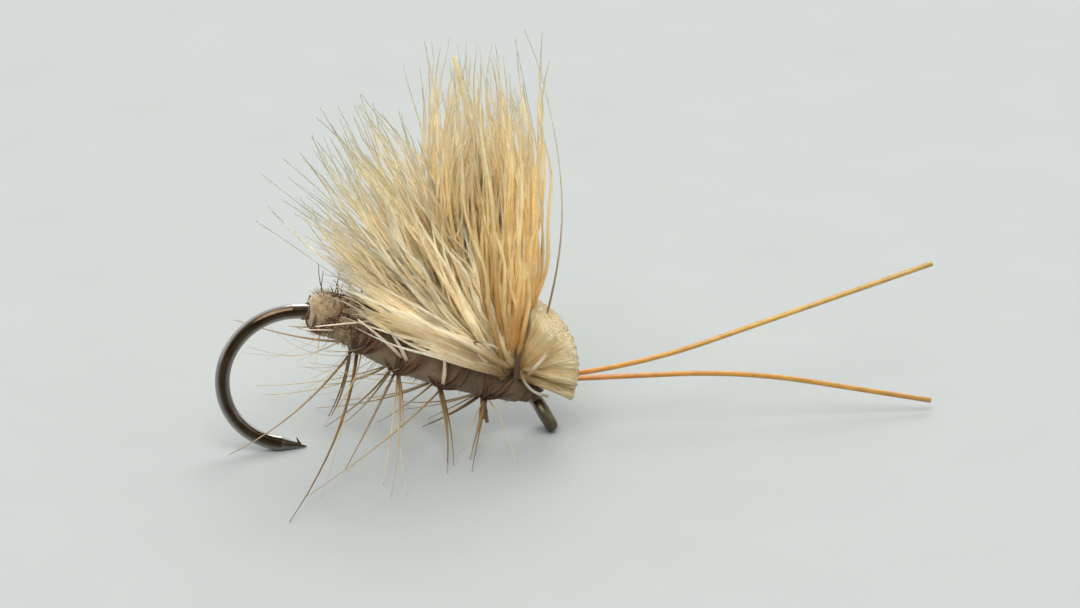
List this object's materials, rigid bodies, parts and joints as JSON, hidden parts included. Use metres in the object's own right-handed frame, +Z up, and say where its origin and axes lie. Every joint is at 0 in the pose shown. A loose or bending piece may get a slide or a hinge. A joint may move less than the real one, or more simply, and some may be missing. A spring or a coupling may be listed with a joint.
{
  "type": "dry fly",
  "caption": "Dry fishing fly on a curved hook: wound body, palmered hackle, flared hair wing and head, and two stiff antennae.",
  "frame": {"origin": "centre of the bounding box at floor level, on the surface that the hook point, the eye and the hackle tips stand on", "axes": "+X from the hook bend towards the head and antennae, +Y to the fly's left, +Z up through the wing"},
  "size_m": [0.0372, 0.0202, 0.0212],
  "materials": {
    "hook_wire": "bronzed, glossy",
    "tying_thread": "waxed thread",
    "rear_dubbing": "fuzzy fur dubbing",
    "body_yarn": "wound matt yarn",
    "hackle_quill": "satin feather quill",
    "hackle_barbs": "glossy feather barbs",
    "wing_hair": "satin hollow hair",
    "pale_hair": "satin hollow hair",
    "hair_butts": "trimmed hollow hair",
    "head_cement": "clear glossy cement",
    "antenna_monofilament": "translucent orange monofilament"
  },
  "bodies": {
    "root": {"hook": "hook_wire", "thread_underbody": "tying_thread", "rear_dubbing": "rear_dubbing", "abdomen_yarn": "body_yarn", "thorax_dubbing": "body_yarn", "hackle_stem": "hackle_quill", "hackle_turn_1": "hackle_barbs", "hackle_turn_2": "hackle_barbs", "hackle_turn_3": "hackle_barbs", "hackle_turn_4": "hackle_barbs", "hackle_turn_5": "hackle_barbs", "wing_hair_front": "wing_hair", "wing_hair_rear": "wing_hair", "wing_hair_low": "pale_hair", "stray_hairs": "pale_hair", "head_butts_upper": "hair_butts", "head_butts_lower": "hair_butts", "thread_collar": "tying_thread", "thread_head": "tying_thread", "head_cement": "head_cement", "antenna_left": "antenna_monofilament", "antenna_right": "antenna_monofilament"}
  },
  "joints": []
}
